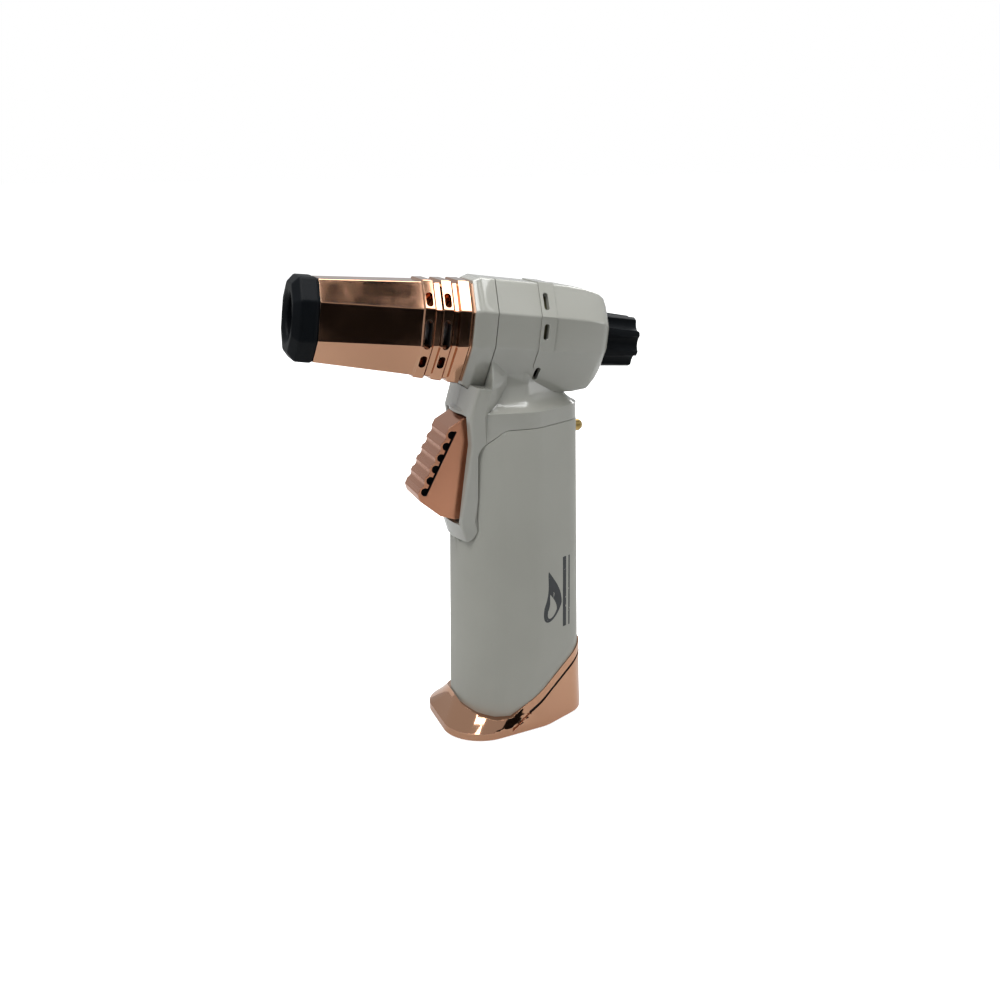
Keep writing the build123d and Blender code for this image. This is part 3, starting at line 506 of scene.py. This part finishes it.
def round_edges(piece, rounding, segments, sharp):
    """Rounds the edges whose faces turn by more than sharp degrees."""
    bevel = piece.modifiers.new("edge_rounding", "BEVEL")
    bevel.width = rounding * MM
    bevel.segments = segments
    bevel.limit_method = "ANGLE"
    bevel.angle_limit = radians(sharp)
    bpy.ops.object.modifier_apply(modifier=bevel.name)


def smooth_faces(piece, sharp):
    """Smooth shading that the large faces lead, with the edges past sharp degrees kept sharp."""
    bpy.ops.object.shade_smooth_by_angle(angle=radians(sharp))
    even = piece.modifiers.new("even_normals", "WEIGHTED_NORMAL")
    even.keep_sharp = True
    bpy.ops.object.modifier_apply(modifier=even.name)


def finish_part(node, name, rounding, segments=2, sharp=SHARP_FROM):
    """Joined-up copy of a CAD part with its edges rounded, shown in the part's place."""
    source = nodes[node]
    piece = bpy.data.objects.new(name, source.data.copy())
    bpy.context.scene.collection.objects.link(piece)
    join_triangles(piece)
    if rounding:
        round_edges(piece, rounding, segments, sharp)
    smooth_faces(piece, sharp)
    clear_selection()
    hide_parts(node)
    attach(piece, source["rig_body"])
    paint(piece, node)
    return piece


def second_finish(piece, finish, chosen):
    """Gives the faces for which chosen(centre, normal) is true another finish."""
    piece.data.materials.append(FINISHES[finish])
    for face in piece.data.polygons:
        if chosen(face.center, face.normal):
            face.material_index = 1


def in_bore(centre, normal):
    """Faces of the barrel's round bore, which look at the burner axis."""
    reach = centre - HEAD_AT
    outward = reach - HEAD_AXIS * reach.dot(HEAD_AXIS)
    return outward.length < BORE_REACH * MM and outward.dot(normal) < 0


def in_side_channel(centre, normal):
    """Faces of the trigger's scalloped side channels, whichever way they look."""
    return CHANNEL_FLOOR * MM < abs(centre.y) < CHANNEL_RIM * MM and centre.x < CHANNEL_REAR * MM


for node, source in nodes.items():
    paint(source, node)

finish_part("muzzle_guard", "flame_guard", rounding=0.5, segments=3)
barrel = finish_part("barrel_shroud", "plated_barrel", rounding=0.14, sharp=20.0)
finish_part("head_collar", "gloss_collar", rounding=0.2)
finish_part("head_shell_left", "gloss_half_left", rounding=0.12)
finish_part("head_shell_right", "gloss_half_right", rounding=0.12)
finish_part("vent_band", "vent_strip", rounding=0.05, segments=1)
finish_part("flame_knob", "flame_wheel", rounding=0.3)
trigger = finish_part("trigger", "plated_trigger", rounding=0.16)
finish_part("grip_cover", "grip_skin", rounding=0.0)
finish_part("base_shoe", "plated_shoe", rounding=0.12)
finish_part("refill_valve_body", "filling_nozzle", rounding=0.06)
# the faces of the barrel's bore are painted near-black
second_finish(barrel, "bore_black", in_bore)
second_finish(trigger, "black_heatproof", in_side_channel)


# ---------------------------------------------------------------- camera, stage and light
CAMERA_AT = (-0.1327, -0.3645, 0.1875)
CAMERA_TURN = radians(-19.33)
CAMERA_DIP = radians(15.95)
CAMERA_ROLL = radians(-0.49)
CAMERA_LENS = 42.94
SENSOR_WIDTH = 36.0
NEAREST_SEEN = 0.01
FURTHEST_SEEN = 60.0
SURROUND_TINT = (0.97, 0.985, 1, 1)
SURROUND_LIGHT = 0.5
FLOOR_REACH = 12.0
TABLE_DROP = 0.0004
SIDE_FLAG_TOP = 0.34
TOP_FLAG_HEIGHT = 0.6
TOP_FLAG_SKEW = 0.02
TOP_FLAGS = {
    "top_flag_a": (-0.06, -0.26, 0.02, -0.04),
    "top_flag_b": (0.045, -0.28, 0.13, -0.10),
    "top_flag_c": (0.04, -0.085, 0.13, -0.03),
}


def set_camera():
    """Stands off the torch's left side, out past the muzzle and above the barrel, and looks a little down."""
    right = Vector((cos(CAMERA_TURN), sin(CAMERA_TURN), 0))
    level = Vector((-sin(CAMERA_TURN), cos(CAMERA_TURN), 0))
    up = Vector((0, 0, 1))
    ahead = level * cos(CAMERA_DIP) - up * sin(CAMERA_DIP)
    raised = up * cos(CAMERA_DIP) + level * sin(CAMERA_DIP)
    turned = right * cos(CAMERA_ROLL) + raised * sin(CAMERA_ROLL)
    upright = raised * cos(CAMERA_ROLL) - right * sin(CAMERA_ROLL)
    data = bpy.data.cameras.new("camera")
    data.lens = CAMERA_LENS
    data.sensor_width = SENSOR_WIDTH
    data.clip_start = NEAREST_SEEN
    data.clip_end = FURTHEST_SEEN
    eye = bpy.data.objects.new("camera", data)
    basis = Matrix((turned, upright, -ahead)).transposed().to_4x4()
    eye.matrix_world = Matrix.Translation(CAMERA_AT) @ basis
    bpy.context.scene.collection.objects.link(eye)
    bpy.context.scene.camera = eye


def studio_world():
    """White surround for the view, and a dimmer one that lights the torch."""
    world = bpy.data.worlds.new("studio")
    world.use_nodes = True
    tree = world.node_tree
    seen = tree.nodes["Background"]
    seen.inputs["Color"].default_value = (1, 1, 1, 1)
    seen.inputs["Strength"].default_value = 1.0
    lit = tree.nodes.new("ShaderNodeBackground")
    lit.inputs["Color"].default_value = SURROUND_TINT
    lit.inputs["Strength"].default_value = SURROUND_LIGHT
    mix = tree.nodes.new("ShaderNodeMixShader")
    path = tree.nodes.new("ShaderNodeLightPath")
    tree.links.new(path.outputs["Is Camera Ray"], mix.inputs["Fac"])
    tree.links.new(lit.outputs["Background"], mix.inputs[1])
    tree.links.new(seen.outputs["Background"], mix.inputs[2])
    tree.links.new(mix.outputs["Shader"], tree.nodes["World Output"].inputs["Surface"])
    return world


def card(name, corners, finish):
    """Flat panel of the studio."""
    mesh = bpy.data.meshes.new(name)
    mesh.from_pydata(corners, [], [tuple(range(len(corners)))])
    mesh.materials.append(finish)
    panel = bpy.data.objects.new(name, mesh)
    bpy.context.scene.collection.objects.link(panel)
    return panel


def ground(name, height, finish):
    """Level card that reaches past the view on every side."""
    reach = FLOOR_REACH
    outline = ((-reach, -reach), (reach, -reach), (reach, reach), (-reach, reach))
    return card(name, [(x, y, height) for x, y in outline], finish)


def set_floor():
    """The camera sees a pure white floor, while the torch is lit by and mirrors a table just under it."""
    floor = ground("floor", 0.0, paper("floor_paper", (0.93, 0.93, 0.925, 1), glow=0.6))
    floor.visible_diffuse = False
    floor.visible_glossy = False
    table = ground("table", -TABLE_DROP, paper("table_paper", (0.85, 0.85, 0.84, 1), glow=0.17))
    table.visible_camera = False


def set_flags():
    """Black cards beside and above the torch, for the plated and glossy parts to mirror."""
    dark = paper("dark_card", (0.004, 0.004, 0.0045, 1), rough=0.9)
    first, last = (-0.9, -0.62), (1.1, -0.9)
    card("side_flag", [(*first, 0.0), (*last, 0.0), (*last, SIDE_FLAG_TOP), (*first, SIDE_FLAG_TOP)], dark)
    for name, (x0, y0, x1, y1) in TOP_FLAGS.items():
        outline = ((x0, y0), (x1, y0 + TOP_FLAG_SKEW), (x1, y1), (x0, y1 - TOP_FLAG_SKEW))
        card(name, [(x, y, TOP_FLAG_HEIGHT) for x, y in outline], dark)


def softbox(name, place, target, width, height, watts):
    """Area light at place, aimed at target."""
    data = bpy.data.lights.new(name, "AREA")
    data.shape = "RECTANGLE"
    data.size = width
    data.size_y = height
    data.energy = watts
    lamp = bpy.data.objects.new(name, data)
    lamp.location = place
    lamp.rotation_euler = (Vector(target) - Vector(place)).to_track_quat("-Z", "Y").to_euler()
    bpy.context.scene.collection.objects.link(lamp)


def set_lights():
    """A large light above, and smaller ones over the muzzle, behind the right side and behind the knob."""
    softbox("overhead", place=(0.02, 0.0, 0.95), target=(0, 0, 0.1), width=0.7, height=0.7, watts=10.5)
    softbox("key", place=(-0.5, -0.35, 0.85), target=(0, 0, 0.1), width=0.35, height=0.35, watts=3.0)
    softbox("rim", place=(0.55, 0.45, 0.6), target=(0, 0, 0.1), width=0.3, height=0.5, watts=2.0)
    softbox("rear_fill", place=(0.62, -0.26, 0.3), target=(0, 0, 0.06), width=0.3, height=0.3, watts=0.5)


set_camera()
bpy.context.scene.view_settings.view_transform = "Standard"
bpy.context.scene.world = studio_world()
set_floor()
set_flags()
set_lights()
